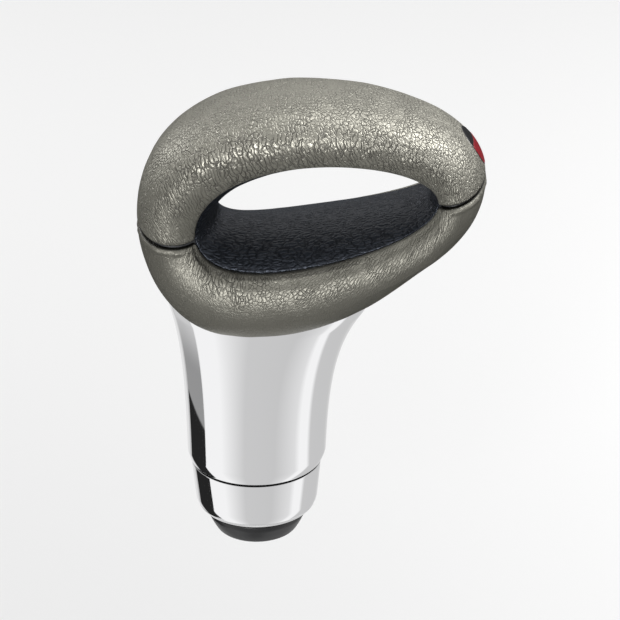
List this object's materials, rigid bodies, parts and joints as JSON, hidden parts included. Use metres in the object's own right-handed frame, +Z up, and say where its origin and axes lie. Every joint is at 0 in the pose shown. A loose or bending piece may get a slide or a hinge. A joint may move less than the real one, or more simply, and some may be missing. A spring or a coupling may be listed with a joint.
{
  "type": "gear shift knob",
  "caption": "Loop-handled gear shift knob: leather-wrapped arch and cradle around a finger opening, on a polished flared stem with a screw-up lock collar.",
  "frame": {"origin": "mouth of the lever socket, on the stem's axis", "axes": "+Z up the stem's axis toward the grip, +X along the loop toward the emblem end, Y through the finger opening"},
  "size_m": [0.0886, 0.0502, 0.1263],
  "materials": {
    "leather_pewter": "metallic coated, grained",
    "leather_charcoal": "grained, semi-matte",
    "chrome": "polished",
    "core_plastic": "moulded",
    "badge_black": "gloss",
    "badge_red": "gloss",
    "steel": "turned",
    "brass": "knurled",
    "nylon_black": "moulded, satin",
    "rubber_black": "matte"
  },
  "bodies": {
    "handle": {"arch_core": "core_plastic", "arch_leather": "leather_pewter", "arch_lining": "leather_charcoal", "arch_dowels": "steel", "badge_base": "badge_black", "badge_field": "badge_red", "cradle_core": "core_plastic", "cradle_leather": "leather_pewter", "cradle_lining": "leather_charcoal", "cradle_insert": "brass", "stem": "chrome", "stem_bolt": "steel", "stem_washer": "steel", "index_pins": "steel", "lever_sleeve": "nylon_black", "grub_screws": "steel", "gap_washer": "rubber_black"},
    "boot_ring": {"boot_ring": "nylon_black"},
    "lock_collar": {"lock_collar": "chrome"}
  },
  "joints": [
    {"name": "collar_drop", "type": "slide", "parent": "handle", "child": "boot_ring", "axis": [0, 0, -1], "range_m": [0, 0.0071]},
    {"name": "collar_turn", "type": "hinge", "parent": "boot_ring", "child": "lock_collar", "pos_m": [0, 0, 0.005], "axis": [0, 0, -1], "range_deg": [0, 1260]}
  ],
  "couplings": [
    {"joint": "collar_drop", "follows": "collar_turn", "m_per_rad": 0.00031831}
  ]
}
